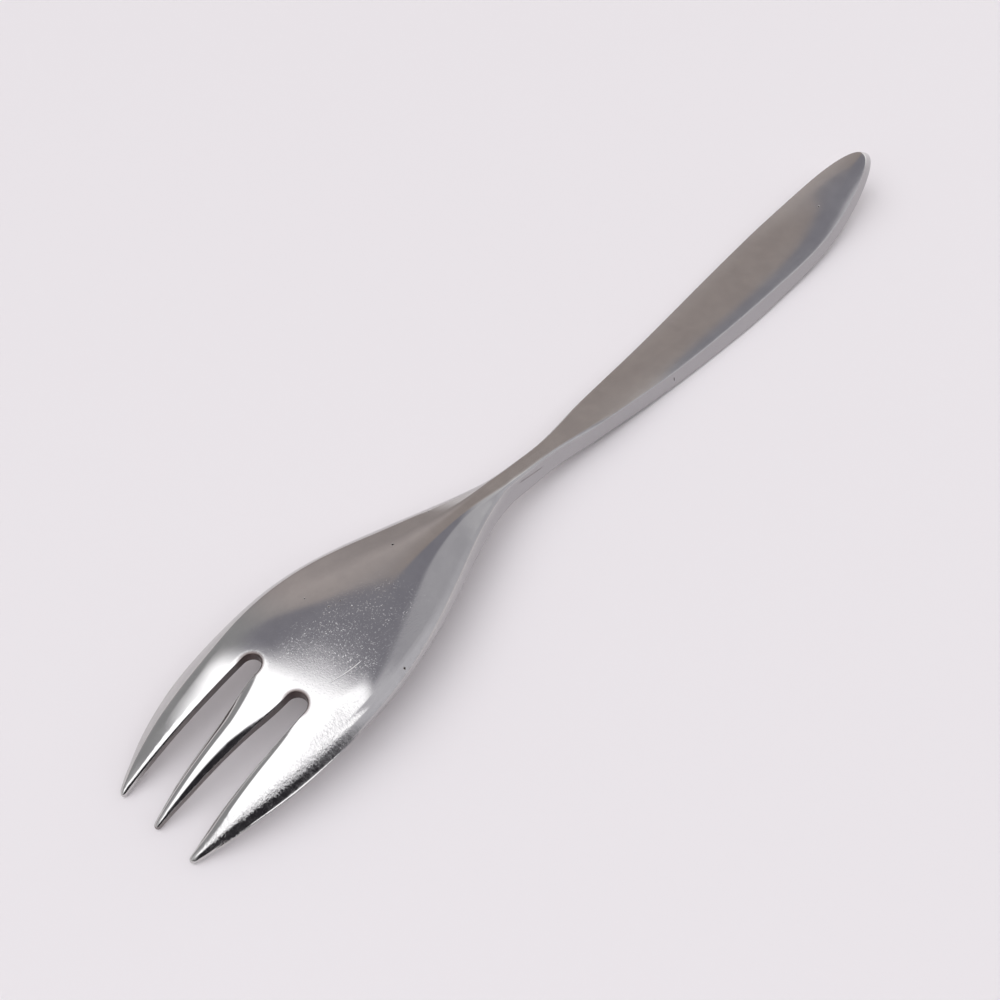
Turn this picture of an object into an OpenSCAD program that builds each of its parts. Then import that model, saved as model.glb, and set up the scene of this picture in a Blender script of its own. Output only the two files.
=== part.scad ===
// Salad fork with three tines, a domed palm, a waisted neck and a flat-backed handle.
// It lies face down: its back is up, and it rests on the tine tips and the belly of the handle.
// Stations run along the fork from the tine tips. +X points to the handle end, and +Y is the left side.

/* [Overall] */
// Overall length, from the tine tips to the handle end
fork_length = 167; // [150:1:190]
// Height of the back at the top of the palm's arch
arch_height = 10.5; // [8:0.5:13]

/* [Palm and tines] */
// Width of the palm where it is widest
palm_width = 24.4; // [21:0.1:27]
// Thickness of the palm at its middle
palm_thickness = 2.3; // [1.8:0.1:2.6]
// Distance between the tips of neighbouring tines
tine_pitch = 6.7; // [6:0.1:7.2]
// Distance between the middle line and the inner edge of an outer tine
slot_outer_edge = 6.3; // [5.8:0.1:6.6]
// Radius of the round end of each slot
slot_end_radius = 1.95; // [1.6:0.05:2.1]
// Distance from the tine tips to the end of each slot, on a fork of nominal length
slot_depth = 23.5; // [22.6:0.1:25]

/* [Neck and handle] */
// Width of the neck where it is narrowest
neck_width = 4.6; // [4:0.1:5.6]
// Width of the handle where it is widest
handle_width = 12.8; // [11:0.1:15]
// Thickness of the handle from its back to its lower edge
handle_thickness = 3.05; // [2.6:0.05:3.3]
// Width of the flat back as a share of the handle's full width
back_share = 0.85; // [0.75:0.01:0.92]

/* [Hidden] */

steel = [0.62, 0.61, 0.60];
nominal_length = 167;
stretch = fork_length / nominal_length;
palm_half = palm_width / 2;
neck_half = neck_width / 2;
handle_half = handle_width / 2;
slot_middle = slot_outer_edge - slot_end_radius;
slot_inner_edge = slot_middle - slot_end_radius;

// Stations of the flat cuts between the sub-parts
tine_cut = 20;
neck_cut = 62;
handle_cut = 84;
// Stations where the handle's flat back, its widest place and the finer rings of its round end begin
flat_start = 78;
end_start = 138;
end_detail = 146;

// Each list below holds stations and values, and a smooth curve runs through them.
// Half-width at the lower edge of the side wall
lower_edge = [
  [0, tine_pitch + 0.4], [2, 0.65 * palm_half], [5, 0.75 * palm_half], [9, 0.85 * palm_half],
  [14, 0.94 * palm_half], [tine_cut, 0.99 * palm_half], [26, palm_half], [32, 0.975 * palm_half],
  [38, 0.895 * palm_half], [44, 0.765 * palm_half], [50, 0.6 * palm_half], [56, 0.43 * palm_half],
  [61, 0.3 * palm_half], [66, 1.13 * neck_half], [72, neck_half], [flat_start, 1.02 * neck_half],
  [86, 0.47 * handle_half], [98, 0.64 * handle_half], [112, 0.84 * handle_half],
  [124, 0.97 * handle_half], [end_start, handle_half]
];
// How far the upper edge of the side wall stands in from the lower edge
wall_lean = [
  [0, 0.1], [5, 0.35], [14, 0.4], [26, 0.2], [44, 0.1], [56, 0.12], [neck_cut, 0.2], [68, 0.45], [74, 0.7],
  [handle_cut, 0.5], [96, 0.6], [112, 1.0], [124, 1.25], [end_start, handle_half * (1 - back_share)]
];
// Height of the back along the middle line
crown = [
  [0, 1.0], [2, 2.3], [5, 4.1], [9, 5.95], [14, 7.6], [tine_cut, 8.8], [28, arch_height - 0.8],
  [36, arch_height - 0.2], [44, arch_height], [52, arch_height - 0.3], [58, arch_height - 0.95], [64, 8.4],
  [70, 7.25], [flat_start, 6.0], [88, handle_thickness + 1.7], [98, handle_thickness + 0.7],
  [108, handle_thickness + 0.15], [118, handle_thickness + 0.05], [130, handle_thickness + 0.3],
  [140, handle_thickness + 0.65], [end_detail, handle_thickness + 1.15], [152, handle_thickness + 2.2],
  [158, handle_thickness + 3.75], [163, handle_thickness + 4.95], [nominal_length, handle_thickness + 5.65]
];
// Drop of the back from the middle line to the upper edge of the side wall
flank_drop = [
  [0, 0.05], [5, 0.5], [9, 1.0], [14, 1.7], [tine_cut, 1.9], [28, 1.75], [34, 2.0], [42, 2.4], [48, 2.7],
  [54, 2.85], [58, 2.7], [neck_cut, 2.3], [66, 1.6], [70, 0.85], [74, 0.3], [flat_start, 0.12],
  [nominal_length, 0.12]
];
// Half-width of the flat or ridge on the back, inside which it drops little
ridge_half = [
  [0, 6], [tine_cut, 6], [30, 5.5], [36, 4.2], [42, 3], [48, 1.9], [54, 1.1], [58, 0.8], [neck_cut, 0.9],
  [66, 1.2], [70, 1.4], [74, 1.5], [flat_start, 1.7]
];
// Half-width of the bend from the flat or ridge to the flank
ridge_bend = [
  [0, 6], [tine_cut, 6], [30, 5.5], [36, 4.2], [42, 3], [48, 1.8], [54, 0.9], [58, 0.5], [neck_cut, 0.35],
  [70, 0.3]
];
// Height of the side wall
wall_height = [
  [0, 1.1], [5, palm_thickness - 0.3], [12, palm_thickness + 0.2], [24, palm_thickness + 0.1],
  [40, palm_thickness], [48, palm_thickness + 0.1], [56, palm_thickness + 0.3], [neck_cut, 2.8], [68, 2.95],
  [74, 2.95], [handle_cut, handle_thickness - 0.05], [112, handle_thickness - 0.05],
  [end_start, handle_thickness - 0.1], [158, 0.82 * handle_thickness],
  [nominal_length, 0.5 * handle_thickness]
];
// Thickness along the middle line
middle_thickness = [
  [0, 1.1], [5, palm_thickness - 0.3], [12, palm_thickness + 0.2], [24, palm_thickness],
  [40, palm_thickness], [50, palm_thickness + 0.3], [58, palm_thickness + 0.8], [64, palm_thickness + 1.2],
  [70, 3.5], [flat_start, handle_thickness + 0.1], [100, handle_thickness + 0.15],
  [116, handle_thickness + 0.35], [134, handle_thickness + 0.1], [158, 0.85 * handle_thickness],
  [nominal_length, 0.5 * handle_thickness]
];
// Half-width of the middle tine
middle_tine_half = [
  [0, 0.17 * slot_inner_edge], [5, 0.375 * slot_inner_edge], [10, 0.54 * slot_inner_edge],
  [15, 0.74 * slot_inner_edge], [tine_cut, slot_inner_edge]
];
// Inner edge of an outer tine
outer_tine_inner = [[0, tine_pitch - 0.3], [4, slot_outer_edge + 0.1], [tine_cut, slot_outer_edge]];
// Rounding of the upper corner of the side wall
upper_round = [
  [0, 0.45], [tine_cut, 0.6], [44, 0.8], [56, 0.7], [64, 0.4], [72, 0.25], [nominal_length, 0.3]
];

// Rounding of the side wall's lower corner, and of the edges of the slots above and below
lower_round = 0.4;
lip_round = 0.55;
sole_round = 0.35;
// Largest rounding as a share of a half-width
round_share = 0.3;
tine_round_share = 0.5;
// Length of the rounded tine tips, and the share of the section that is left at their ends
tip_round = 0.7;
tip_share = 0.35;

// The flat back as a share of its half-width, and the share that gets evenly spaced points
flat_share = 0.9;
even_share = 0.75;

// The handle's round end: powers of its outline, and how far its back stops short of its lower edge
end_power = 2.2;
end_root = 0.58;
end_lean = 2;
end_share = 0.04;

// Points across the section, spacing of the stations, and facets of the round ends
flat_points = 4;
flank_points = 4;
under_points = 5;
tine_points = 5;
station_step = 2;
end_rings = 16;
slot_facets = 16;
tip_rings = [0, 0.15, 0.45, 1, 2];
tine_body_start = 2.5;

// Reach of the neighbours that a rounded corner is drawn from, in roundings
neighbour_reach = 2.5;
// Extent of the cutting shapes beyond the fork
cut_extent = 60;
cut_margin = 1;

// Smooth curve through a list of stations and values
function segment(list, s, i = 0) = (i >= len(list) - 2 || s < list[i + 1][0]) ? i : segment(list, s, i + 1);
function rise(list, i) = (list[i + 1][1] - list[i][1]) / (list[i + 1][0] - list[i][0]);
function slope(list, i) =
  i == 0 ? rise(list, 0)
  : i == len(list) - 1 ? rise(list, i - 1)
  : let (before = list[i][0] - list[i - 1][0], after = list[i + 1][0] - list[i][0])
    (rise(list, i - 1) * after + rise(list, i) * before) / (before + after);
function curve(list, s) =
  let (
    i = segment(list, s),
    h = list[i + 1][0] - list[i][0],
    u = min(1, max(0, (s - list[i][0]) / h))
  )
  list[i][1] * (1 + 2 * u) * (1 - u) ^ 2 + slope(list, i) * h * u * (1 - u) ^ 2
  + list[i + 1][1] * u * u * (3 - 2 * u) + slope(list, i + 1) * h * u * u * (u - 1);

// Place of a station along X, and station of a place
function at_x(s) = s * stretch - fork_length / 2;
function at_station(x) = (x + fork_length / 2) / stretch;

// Share of the handle's width left at a station of its round end
function end_ratio(s) = min(1, max(0, (s - end_start) / (nominal_length - end_start)));
function end_taper(s) = max(end_share, (1 - end_ratio(s) ^ end_power) ^ end_root);

// Half-widths and heights of the section at a station
function lower_half(s) = curve(lower_edge, s) * end_taper(s);
function upper_half(s) = (curve(lower_edge, s) - curve(wall_lean, s)) * end_taper(s);
function ridge(s) =
  let (widest = flat_share * upper_half(s))
  s > flat_start ? widest : min(curve(ridge_half, s), widest);
function bend(s) = min(curve(ridge_bend, s), ridge(s));
function bent_drop(s, y) =
  let (flat = ridge(s), soft = bend(s), out = abs(y) - flat + soft)
  out <= 0 ? 0 : out < 2 * soft ? out * out / (4 * soft) : abs(y) - flat;
function back_height(s, y) =
  curve(crown, s) - curve(flank_drop, s) * bent_drop(s, y) / bent_drop(s, upper_half(s));
function edge_height(s) = curve(crown, s) - curve(flank_drop, s);
function foot_height(s) = edge_height(s) - curve(wall_height, s);
function under_height(s, y) =
  let (middle = curve(crown, s) - curve(middle_thickness, s), foot = foot_height(s))
  foot + (middle - foot) * (1 - (y / lower_half(s)) ^ 2);

// Three points that round a corner between two neighbours
function toward(from, to, d) = from + (to - from) * d / norm(to - from);
function rounded(before, corner, after, r) =
  let (a = toward(corner, before, r), b = toward(corner, after, r))
  [a, (a + 2 * corner + b) / 4, b];

// Right half of a section from the middle of the back to the middle of the underside, as [y, z]
function half_section(s) =
  let (
    edge = upper_half(s),
    foot = lower_half(s),
    r = min(curve(upper_round, s), round_share * edge),
    r_low = min(lower_round, round_share * foot),
    split = min(ridge(s), even_share * (edge - r)),
    corner = [edge, edge_height(s)],
    heel = [foot, foot_height(s)],
    inner_y = edge - neighbour_reach * r,
    sole_y = foot - neighbour_reach * r_low
  )
  concat(
    [for (i = [0:flat_points]) let (y = split * i / flat_points) [y, back_height(s, y)]],
    [for (i = [1:flank_points - 1])
      let (y = split + (edge - r - split) * i / flank_points)
      [y, back_height(s, y)]],
    rounded([inner_y, back_height(s, inner_y)], corner, heel, r),
    rounded(corner, heel, [sole_y, under_height(s, sole_y)], r_low),
    [for (i = [1:under_points])
      let (y = (foot - r_low) * (1 - i / under_points))
      [y, under_height(s, y)]]
  );

// Whole section at a station as points in space, with the back set short at the round end
function place(s, p) =
  let (
    share = min(1, max(0, (p[1] - foot_height(s)) / curve(wall_height, s))),
    at = s - end_lean * end_ratio(s) ^ 2 * share
  )
  [at_x(at), p[0], p[1]];
function section(s) =
  let (half = half_section(s), n = len(half))
  concat(
    [for (p = half) place(s, [-p[0], p[1]])],
    [for (i = [n - 2:-1:1]) place(s, half[i])]
  );

// Section of a tine between its inner and outer edges, small at the tip
function tine_section(s, inner, outer, lean, outer_round, outer_sole) =
  let (
    middle = (inner + outer) / 2,
    reach = tip_share + (1 - tip_share) * sqrt(1 - (1 - min(1, s / tip_round)) ^ 2),
    half = (outer - inner) / 2 * reach,
    top = function (y) back_height(s, y),
    low = function (y) under_height(s, y),
    centre = (top(middle) + low(middle)) / 2,
    from = middle - half,
    to = middle + half,
    to_top = to - lean * reach,
    limit = tine_round_share * half,
    r = min(lip_round, limit),
    r_out = min(outer_round, limit),
    r_sole = min(sole_round, limit),
    r_sole_out = min(outer_sole, limit),
    a = [to_top, top(to_top)],
    b = [from, top(from)],
    c = [from, low(from)],
    d = [to, low(to)],
    top_run = to_top - r_out - from - r,
    low_run = to - r_sole_out - from - r_sole,
    steps = tine_points + 1
  )
  [for (p = concat(
      rounded(d, a, [to_top - r_out, top(to_top - r_out)], r_out),
      [for (i = [1:tine_points]) let (y = to_top - r_out - top_run * i / steps) [y, top(y)]],
      rounded([from + r, top(from + r)], b, c, r),
      rounded(b, c, [from + r_sole, low(from + r_sole)], r_sole),
      [for (i = [1:tine_points]) let (y = from + r_sole + low_run * i / steps) [y, low(y)]],
      rounded([to - r_sole_out, low(to - r_sole_out)], d, a, r_sole_out)
    ))
    [at_x(s), p[0], centre + (p[1] - centre) * reach]];

// Outline of a slot's end seen from above, grown outward by a distance
function slot_outline(grow) =
  let (
    r = slot_end_radius + grow,
    start = at_x(tine_cut) - cut_margin,
    centre = at_x(slot_depth) - slot_end_radius
  )
  concat(
    [[start, slot_middle - r]],
    [for (i = [0:slot_facets])
      let (t = 180 * i / slot_facets - 90)
      [centre + r * cos(t), slot_middle + r * sin(t)]],
    [[start, slot_middle + r]]
  );
function slot_ring(grow, height) =
  [for (p = slot_outline(grow)) [p[0], p[1], height(at_station(p[0]), p[1])]];

// Solid through a row of closed rings
module loft(rings) {
  n = len(rings[0]);
  last = len(rings) - 1;
  sides = [for (i = [0:last - 1], j = [0:n - 1], half = [0, 1])
    let (k = (j + 1) % n)
    half == 0 ? [i * n + j, (i + 1) * n + k, i * n + k] : [i * n + j, (i + 1) * n + j, (i + 1) * n + k]];
  first_cap = [[for (j = [0:n - 1]) j]];
  last_cap = [[for (j = [n - 1:-1:0]) last * n + j]];
  polyhedron(points = [for (ring = rings, p = ring) p], faces = concat(sides, first_cap, last_cap));
}

function stations(from, to) =
  let (n = ceil((to - from) / station_step)) [for (i = [0:n]) from + (to - from) * i / n];
// Stations of the round end, closer together towards its tip
function end_stations(from, to, n) = [for (i = [1:n]) from + (to - from) * sin(90 * i / n)];
function tine_stations() = concat(tip_rings * tip_round, stations(tine_body_start, tine_cut));

// Space of a slot's end, wider where its edges above and below are rounded
module slot_end() {
  loft([
    slot_ring(sole_round, function (s, y) -cut_extent),
    slot_ring(sole_round, function (s, y) under_height(s, y)),
    slot_ring(sole_round / 4, function (s, y) under_height(s, y) + sole_round / 4),
    slot_ring(0, function (s, y) under_height(s, y) + sole_round),
    slot_ring(0, function (s, y) back_height(s, y) - lip_round),
    slot_ring(lip_round / 4, function (s, y) back_height(s, y) - lip_round / 4),
    slot_ring(lip_round, function (s, y) back_height(s, y)),
    slot_ring(lip_round, function (s, y) cut_extent)
  ]);
}

module above_table() {
  intersection() {
    children();
    translate([-fork_length, -cut_extent, 0])
      cube([2 * fork_length, 2 * cut_extent, cut_extent]);
  }
}

module handle() {
  rings = concat(stations(handle_cut, end_detail), end_stations(end_detail, nominal_length, end_rings));
  color(steel)
    above_table()
      loft([for (s = rings) section(s)]);
}

module neck() {
  color(steel)
    loft([for (s = stations(neck_cut, handle_cut)) section(s)]);
}

module bowl() {
  color(steel)
    difference() {
      loft([for (s = stations(tine_cut, neck_cut)) section(s)]);
      slot_end();
      mirror([0, 1, 0])
        slot_end();
    }
}

module outer_tine() {
  loft([for (s = tine_stations())
    tine_section(
      s, curve(outer_tine_inner, s), lower_half(s), curve(wall_lean, s), curve(upper_round, s), lower_round
    )]);
}

module left_tine() {
  color(steel)
    outer_tine();
}

module middle_tine() {
  color(steel)
    loft([for (s = tine_stations())
      let (half = curve(middle_tine_half, s))
      tine_section(s, -half, half, 0, lip_round, sole_round)]);
}

module right_tine() {
  color(steel)
    mirror([0, 1, 0])
      outer_tine();
}

handle();
neck();
bowl();
left_tine();
middle_tine();
right_tine();
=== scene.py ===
"""Salad fork lying face down: smooth steel skin, worn finish, floor, light and camera."""
import math

import bpy
import numpy as np
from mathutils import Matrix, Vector
from mathutils.geometry import delaunay_2d_cdt


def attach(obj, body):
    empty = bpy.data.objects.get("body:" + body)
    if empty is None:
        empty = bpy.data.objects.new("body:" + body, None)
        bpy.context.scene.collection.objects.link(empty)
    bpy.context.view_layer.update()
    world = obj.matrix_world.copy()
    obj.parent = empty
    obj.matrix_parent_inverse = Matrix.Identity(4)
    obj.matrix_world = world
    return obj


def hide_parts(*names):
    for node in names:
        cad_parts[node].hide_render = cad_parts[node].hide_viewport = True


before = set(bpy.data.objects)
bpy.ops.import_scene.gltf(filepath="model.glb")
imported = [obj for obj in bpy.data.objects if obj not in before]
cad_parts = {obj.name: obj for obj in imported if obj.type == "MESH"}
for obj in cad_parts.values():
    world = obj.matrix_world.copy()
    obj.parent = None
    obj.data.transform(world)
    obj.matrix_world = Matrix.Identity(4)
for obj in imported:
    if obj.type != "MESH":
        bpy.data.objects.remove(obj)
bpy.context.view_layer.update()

# Sizes of the fork in millimetres. Stations run along it from the tine tips, and y is positive to the left.
MM = 0.001
LENGTH = 167.0
PALM_HALF = 12.6
NECK_HALF = 2.3
HANDLE_HALF = 6.4
PALM_THICK = 2.1
HANDLE_THICK = 3.05
ARCH = 10.5
TINE_PITCH = 6.7
SLOT_OUTER = 5.9
SLOT_RADIUS = 1.55
SLOT_END = 23.2
SLOT_MIDDLE = SLOT_OUTER - SLOT_RADIUS
SLOT_INNER = SLOT_MIDDLE - SLOT_RADIUS
SLOT_CENTRE = SLOT_END - SLOT_RADIUS

# Stations of the cuts between the pieces
TINE_CUT = 20.0
NECK_CUT = 62.0
HANDLE_CUT = 84.0
CUTS = (TINE_CUT, NECK_CUT, HANDLE_CUT)

# Round end of the handle: its start, how it narrows, how far its back stops short, and lower rounding lost
END_START = 138.0
END_LENGTH = LENGTH - END_START
END_POWER = 2.2
END_ROOT = 0.58
END_ROOT_TIP = 0.52
END_ROOT_POWER = 8
END_LEAN = 2.0
END_ROUND_LOSS = 0.4

# Rounded edges: upper and lower in the slots, lower elsewhere, and limits as shares of a tine and a wall
LIP_ROUND = 0.25
SOLE_ROUND = 0.25
LOWER_ROUND = 0.3
TINE_ROUND_SHARE = 0.3
WALL_ROUND_SHARE = 0.45

# Soft shoulders of the back: how far they reach in from an edge, and their fall as a share of that reach
LEFT_SLOT_REACH = 0.7
RIGHT_SLOT_REACH = 1.5
HANDLE_REACH = 3.0
HANDLE_FALL = 0.06

# Tips of the tines: length of their round in plan, length over which they thin, and share left there
TIP_LENGTH = 0.5
TIP_SHRINK_LENGTH = 0.9
TIP_SHARE = 0.45

# Stations over which a form comes in or goes out
LEAN_STARTS = (0.0, 4.0)
SIDEWAYS_STARTS = (12.0, 17.0)
RIM_ENDS = (68.0, 80.0)
HANDLE_BACK_STARTS = (84.0, 92.0)
HANDLE_SHOULDER_STARTS = (92.0, 108.0)

# Widest flat ridge, and widest ridge with its bend, as shares of the half-width
RIDGE_LIMIT = 0.9
BEND_LIMIT = 0.95

# Curves: step of the samples, run past both ends, usual blur, and reach of the blur in blurs
CURVE_STEP = 0.1
CURVE_MARGIN = 12.0
CURVE_BLUR = 1.2
BLUR_REACH = 4

# Points: step of the rows, bare strip along an edge, first and last row, and steps for slopes
ROW_STEP = 0.5
CLEAR_OF_EDGE = 0.2
EDGE_STRIP = 1.2 * CLEAR_OF_EDGE
FIRST_ROW = 0.2
LAST_ROW = LENGTH - 0.3
SLOPE_STEP = 0.15
EDGE_SLOPE_STEP = 0.25

# Points round half the handle's end, round a tine's tip and round a slot's root
END_COUNT = 56
TIP_COUNT = 18
ROOT_COUNT = 28

# Rows over the side wall's upper and lower corners, and places of those between
UPPER_CORNER_ROWS = 7
LOWER_CORNER_ROWS = 5
WALL_ROWS = (1 / 3, 2 / 3)

# Columns on half the back: on the palm, on the handle, and on ridge, bend and flank between them
PALM_COLUMNS_END = 40.0
PALM_COLUMNS = 28
HANDLE_COLUMNS_START = 90.0
HANDLE_COLUMN_STEP = 0.35
FEWEST_HANDLE_COLUMNS = 3
MOST_HANDLE_COLUMNS = 14
RIDGE_COLUMNS = 3
BEND_COLUMNS = 6
FLANK_COLUMNS = 10
NARROWEST_RIDGE = 0.1

# Columns on half the underside
UNDER_COLUMN_STEP = 0.55
FEWEST_UNDER_COLUMNS = 6

# Triangulation: points measured at a time, nearness that counts as the same, and faces inside only
CHUNK = 2000
SAME_STATION = 1e-9
SAME_POINT = 1e-6
INSIDE_ONLY = 1

# Nearness to an edge: its reach on the back, and its value on the inner rows of the side wall
EDGE_REACH = 0.9
WALL_EDGE_SHARE = (1.0, 1.0, 1.0, 1.0, 0.7, 0.4, 0.3, 0.3, 0.4, 0.8, 1.0, 0.8)


def smooth_step(low, high, value):
    """Smooth 0 to 1 as the value goes from low to high."""
    u = np.clip((np.asarray(value, float) - low) / (high - low), 0.0, 1.0)
    return u * u * (3.0 - 2.0 * u)


class Curve:
    """A value along the fork through given stations, blurred so that reflections run clean."""

    grid = np.arange(-CURVE_MARGIN, LENGTH + CURVE_MARGIN + CURVE_STEP, CURVE_STEP)

    def __init__(self, knots, blur=CURVE_BLUR):
        at, value = np.array(knots, float).T
        gap = np.diff(at)
        rise = np.diff(value) / gap
        slope = np.empty_like(value)
        slope[0], slope[-1] = rise[0], rise[-1]
        slope[1:-1] = (rise[:-1] * gap[1:] + rise[1:] * gap[:-1]) / (gap[:-1] + gap[1:])
        i = np.clip(np.searchsorted(at, self.grid, "right") - 1, 0, len(at) - 2)
        u = (self.grid - at[i]) / gap[i]
        t = np.clip(u, 0.0, 1.0)
        made = (
            value[i] * (1 + 2 * t) * (1 - t) ** 2
            + slope[i] * gap[i] * t * (1 - t) ** 2
            + value[i + 1] * t * t * (3 - 2 * t)
            + slope[i + 1] * gap[i] * t * t * (t - 1)
        )
        made += np.minimum(u, 0.0) * gap[0] * slope[0] + np.maximum(u - 1.0, 0.0) * gap[-1] * slope[-1]
        reach = int(BLUR_REACH * blur / CURVE_STEP)
        kernel = np.exp(-0.5 * (np.arange(-reach, reach + 1) * CURVE_STEP / blur) ** 2)
        kernel /= kernel.sum()
        first = made[0] + (made[1] - made[0]) * np.arange(-reach, 0)
        last = made[-1] + (made[-1] - made[-2]) * np.arange(1, reach + 1)
        self.samples = np.convolve(np.concatenate([first, made, last]), kernel, "valid")

    def __call__(self, s):
        return np.interp(s, self.grid, self.samples)


# Half-width at the lower edge, inset of the upper edge, and heights, close to those of the part's solids
lower_edge = Curve([
    (0, TINE_PITCH + 0.4), (2, 0.65 * PALM_HALF), (5, 0.75 * PALM_HALF), (9, 0.85 * PALM_HALF),
    (14, 0.94 * PALM_HALF), (20, 0.99 * PALM_HALF), (26, PALM_HALF), (32, 0.975 * PALM_HALF),
    (38, 0.895 * PALM_HALF), (44, 0.765 * PALM_HALF), (50, 0.6 * PALM_HALF), (56, 0.43 * PALM_HALF),
    (61, 0.3 * PALM_HALF), (66, 1.13 * NECK_HALF), (72, NECK_HALF), (78, 1.02 * NECK_HALF),
    (86, 0.47 * HANDLE_HALF), (98, 0.64 * HANDLE_HALF), (112, 0.84 * HANDLE_HALF),
    (124, 0.97 * HANDLE_HALF), (138, HANDLE_HALF), (167, HANDLE_HALF),
], blur=0.8)
wall_lean = Curve([
    (0, 0.1), (5, 0.35), (14, 0.4), (26, 0.2), (44, 0.1), (56, 0.12), (62, 0.2), (68, 0.45), (74, 0.7),
    (84, 0.5), (96, 0.6), (112, 1.0), (124, 1.25), (138, 0.96), (167, 0.96),
])
crown = Curve([
    (0, 1.0), (2, 2.3), (5, 4.1), (9, 5.95), (14, 7.6), (20, 8.8), (28, ARCH - 0.8), (36, ARCH - 0.2),
    (44, ARCH), (52, ARCH - 0.3), (58, ARCH - 0.95), (64, 8.4), (70, 7.25), (78, 6.0),
    (88, HANDLE_THICK + 1.7), (98, HANDLE_THICK + 0.7), (108, HANDLE_THICK + 0.15),
    (118, HANDLE_THICK + 0.05), (130, HANDLE_THICK + 0.3), (140, HANDLE_THICK + 0.65),
    (146, HANDLE_THICK + 1.15), (152, HANDLE_THICK + 2.2), (158, HANDLE_THICK + 3.75),
    (163, HANDLE_THICK + 4.95), (167, HANDLE_THICK + 5.65),
], blur=2.0)
flank_drop = Curve([
    (0, 0.05), (5, 0.5), (9, 1.0), (14, 1.65), (20, 2.0), (28, 2.05), (34, 2.15), (42, 2.38), (48, 2.42),
    (54, 2.06), (58, 1.68), (62, 1.2), (66, 0.88), (70, 0.7), (74, 0.75), (78, 0.75), (82, 0.45),
    (86, 0.2), (90, 0.12), (167, 0.12),
])
ridge_half = Curve([
    (0, 6), (20, 6), (30, 5.5), (36, 4.2), (42, 3), (48, 1.9), (54, 1.1), (58, 0.8), (62, 0.9),
    (66, 1.2), (70, 1.4), (74, 1.5), (78, 1.72), (83, 2.1), (88, 2.6), (96, 3.4),
])
ridge_bend = Curve([
    (0, 6), (20, 6), (30, 5.5), (36, 4.2), (42, 3), (48, 1.8), (54, 0.9), (58, 0.5), (62, 0.35),
    (70, 0.3), (90, 0.3),
])
wall_height = Curve([
    (0, 0.9), (5, 1.0), (12, 1.15), (40, 1.15), (46, 1.2), (52, 1.3), (58, 1.6), (62, 1.95), (66, 2.25),
    (70, 2.45), (74, 2.2), (78, 2.13), (82, 2.6), (86, 2.92), (90, HANDLE_THICK - 0.05),
    (112, HANDLE_THICK - 0.05), (138, HANDLE_THICK - 0.1), (158, 0.82 * HANDLE_THICK),
    (167, 0.5 * HANDLE_THICK),
])
middle_thickness = Curve([
    (0, 0.9), (5, PALM_THICK - 0.7), (12, PALM_THICK - 0.4), (24, PALM_THICK - 0.2), (40, PALM_THICK),
    (50, PALM_THICK + 0.4), (58, PALM_THICK + 0.9), (64, PALM_THICK + 1.3), (70, 3.5),
    (78, HANDLE_THICK + 0.1), (100, HANDLE_THICK + 0.15), (116, HANDLE_THICK + 0.35),
    (134, HANDLE_THICK + 0.1), (158, 0.85 * HANDLE_THICK), (167, 0.5 * HANDLE_THICK),
])
middle_tine_half = Curve([
    (0, 0.15 * SLOT_INNER), (2, 0.25 * SLOT_INNER), (5, 0.41 * SLOT_INNER), (10, 0.585 * SLOT_INNER),
    (15, 0.77 * SLOT_INNER), (20, 0.985 * SLOT_INNER), (SLOT_CENTRE, SLOT_INNER), (24, SLOT_INNER),
], blur=0.6)
outer_tine_inner = Curve([
    (0, TINE_PITCH - 0.35), (4, SLOT_OUTER + 0.15), (10, SLOT_OUTER), (20, SLOT_OUTER), (24, SLOT_OUTER),
], blur=0.6)
upper_round = Curve([
    (0, 0.2), (20, 0.25), (56, 0.28), (64, 0.25), (72, 0.16), (90, 0.16), (140, 0.2), (167, 0.3),
])

# How far the soft shoulder reaches in from the outer edge of the palm and tines
rim_reach = Curve([
    (0, 0.4), (2, 0.85), (5, 1.65), (9, 2.3), (14, 2.7), (20, 2.4), (26, 1.6), (34, 1.3), (45, 1.5),
    (58, 1.5), (62, 1.35), (66, 1.1), (72, 0.8), (80, 0.8),
])
# Height lost over that reach, as a share of it
rim_fall = Curve([
    (0, 0.45), (5, 0.38), (14, 0.36), (22, 0.4), (34, 0.6), (45, 0.65), (54, 0.72), (58, 0.82), (62, 0.9),
    (66, 0.8), (70, 0.65), (80, 0.5),
])
# Reach and fall of the middle tine's round back, whose left side is broader near its root
middle_right_reach = Curve([
    (0, 2.6), (8, 2.3), (13, 1.8), (18, 1.2), (22, 0.8), (28, 0.7),
], blur=1.6)
middle_left_reach = Curve([
    (0, 2.6), (8, 2.3), (13, 2.1), (18, 2.0), (22, 1.3), (28, 0.7),
], blur=1.6)
middle_fall = Curve([
    (0, 0.58), (10, 0.58), (14, 0.5), (18, 0.32), (21, 0.12), (23, 0.0), (28, 0.0),
])
# Fall along the slots of the left and right tines
left_slot_fall = Curve([
    (0, 0.6), (5, 0.6), (9, 0.45), (13, 0.3), (18, 0.18), (21, 0.07), (23, 0.0), (28, 0.0),
])
right_slot_fall = Curve([
    (0, 0.5), (12, 0.5), (18, 0.34), (21, 0.12), (23, 0.0), (28, 0.0),
])
# Crown of the handle's back, as height lost per square of the distance from its middle
back_crown = Curve([
    (0, 0.0065), (90, 0.0065), (105, 0.009), (130, 0.009), (142, 0.013), (152, 0.022), (160, 0.03),
    (167, 0.035),
])


def end_taper(s):
    """Share of the handle's width left at a station of its round end."""
    ratio = np.clip((s - END_START) / END_LENGTH, 0.0, 1.0)
    root = END_ROOT + (END_ROOT_TIP - END_ROOT) * ratio ** END_ROOT_POWER
    return np.maximum(1.0 - ratio ** END_POWER, 0.0) ** root


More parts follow.
